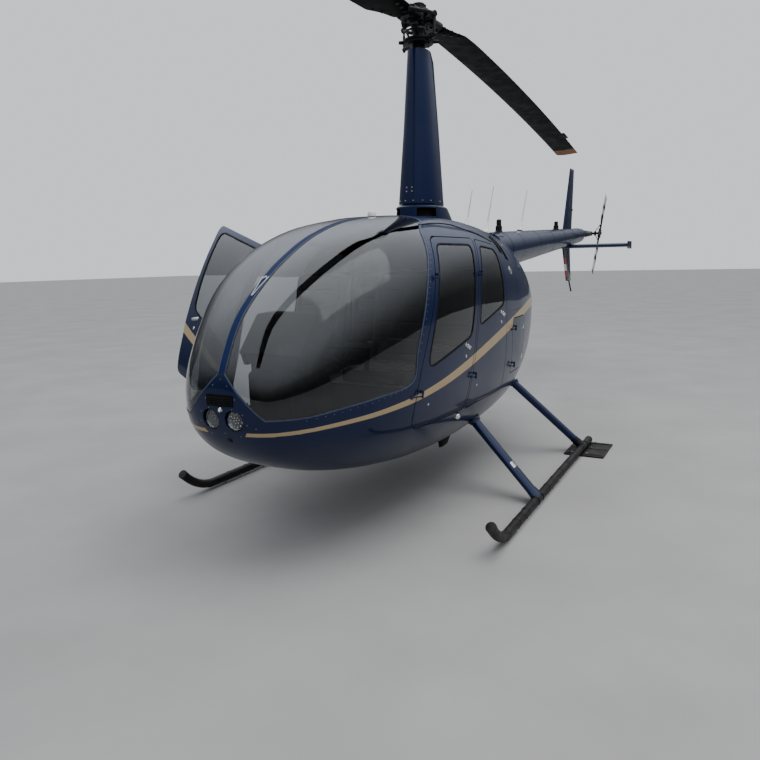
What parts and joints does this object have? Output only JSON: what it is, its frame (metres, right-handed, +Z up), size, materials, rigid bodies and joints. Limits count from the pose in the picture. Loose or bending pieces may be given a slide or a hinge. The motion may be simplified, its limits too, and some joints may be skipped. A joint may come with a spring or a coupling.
{
  "type": "light turbine helicopter",
  "caption": "Light cabin helicopter on skids: two-blade main and tail rotors that turn, hinged cabin and baggage doors, glazed bubble nose, mast fairing and tail cone with fins.",
  "frame": {"origin": "on the ground under the middle of the aircraft's outline, on its plane of symmetry", "axes": "+X forward, +Y to the aircraft's left, +Z up"},
  "size_m": [11.3863, 2.657, 3.48],
  "materials": {
    "blue_paint": "gloss metallic",
    "tinted_glass": "clear",
    "black_metal": "satin",
    "blade_paint": "matt",
    "bare_metal": "brushed",
    "engine_metal": "satin",
    "cabin_trim": "matt",
    "seat_cover": "satin",
    "lamp_glass": "clear"
  },
  "bodies": {
    "root": {"lower_hull": "blue_paint", "roof_and_posts": "blue_paint", "windshield_left": "tinted_glass", "windshield_right": "tinted_glass", "landing_lamp_left": "lamp_glass", "landing_lamp_right": "lamp_glass", "cabin_floor": "cabin_trim", "rear_bulkhead": "cabin_trim", "front_seat_base": "cabin_trim", "front_left_seat": "seat_cover", "front_right_seat": "seat_cover", "rear_seat_base": "cabin_trim", "rear_seat": "seat_cover", "instrument_console": "cabin_trim", "cyclic_stick": "black_metal", "upper_cowl": "blue_paint", "lower_cowl": "blue_paint", "engine": "engine_metal", "exhaust_pipe": "bare_metal", "mast_collar": "blue_paint", "mast_fairing": "blue_paint", "tail_cone": "blue_paint", "upper_fin": "blue_paint", "tail_stabilizer": "blue_paint", "lower_fin": "blue_paint", "tail_gearbox": "bare_metal", "left_skid": "black_metal", "right_skid": "black_metal", "front_left_strut": "blue_paint", "aft_left_strut": "blue_paint", "front_right_strut": "blue_paint", "aft_right_strut": "blue_paint"},
    "main_rotor": {"rotor_mast": "black_metal", "rotor_hub": "black_metal", "main_blade_front": "blade_paint", "main_blade_rear": "blade_paint", "swashplate": "black_metal"},
    "tail_rotor": {"tail_rotor_hub": "bare_metal", "tail_blade_upper": "blade_paint", "tail_blade_lower": "blade_paint"},
    "front_left_door_leaf": {"front_left_door": "blue_paint", "front_left_window": "tinted_glass"},
    "front_right_door_leaf": {"front_right_door": "blue_paint", "front_right_window": "tinted_glass"},
    "rear_left_door_leaf": {"rear_left_door": "blue_paint", "rear_left_window": "tinted_glass"},
    "rear_right_door_leaf": {"rear_right_door": "blue_paint", "rear_right_window": "tinted_glass"},
    "baggage_door_leaf": {"baggage_left_door": "blue_paint"}
  },
  "joints": [
    {"name": "main_rotor_spin", "type": "hinge", "parent": "root", "child": "main_rotor", "pos_m": [0.66, 0, 3.365], "axis": [0, 0, 1], "continuous": true},
    {"name": "tail_rotor_spin", "type": "hinge", "parent": "root", "child": "tail_rotor", "pos_m": [-5.205, 0.262, 1.984], "axis": [0, 1, 0], "continuous": true},
    {"name": "front_left_door_hinge", "type": "hinge", "parent": "root", "child": "front_left_door_leaf", "pos_m": [1.904, 0.68774, 1.53], "axis": [0.3762, 0.0182, -0.9263], "range_deg": [0, 75]},
    {"name": "front_right_door_hinge", "type": "hinge", "parent": "root", "child": "front_right_door_leaf", "pos_m": [1.904, -0.68774, 1.53], "axis": [-0.3762, 0.0182, 0.9263], "range_deg": [-75, 0]},
    {"name": "rear_left_door_hinge", "type": "hinge", "parent": "root", "child": "rear_left_door_leaf", "pos_m": [1.273, 0.72535, 1.53], "axis": [0.2667, 0.0386, -0.963], "range_deg": [0, 70]},
    {"name": "rear_right_door_hinge", "type": "hinge", "parent": "root", "child": "rear_right_door_leaf", "pos_m": [1.273, -0.72535, 1.53], "axis": [-0.2667, 0.0386, 0.963], "range_deg": [0, 70]},
    {"name": "baggage_door_hinge", "type": "hinge", "parent": "root", "child": "baggage_door_leaf", "pos_m": [0.603, 0.754, 1.11], "axis": [0, -0.0368, -0.9993], "range_deg": [0, 90]}
  ]
}
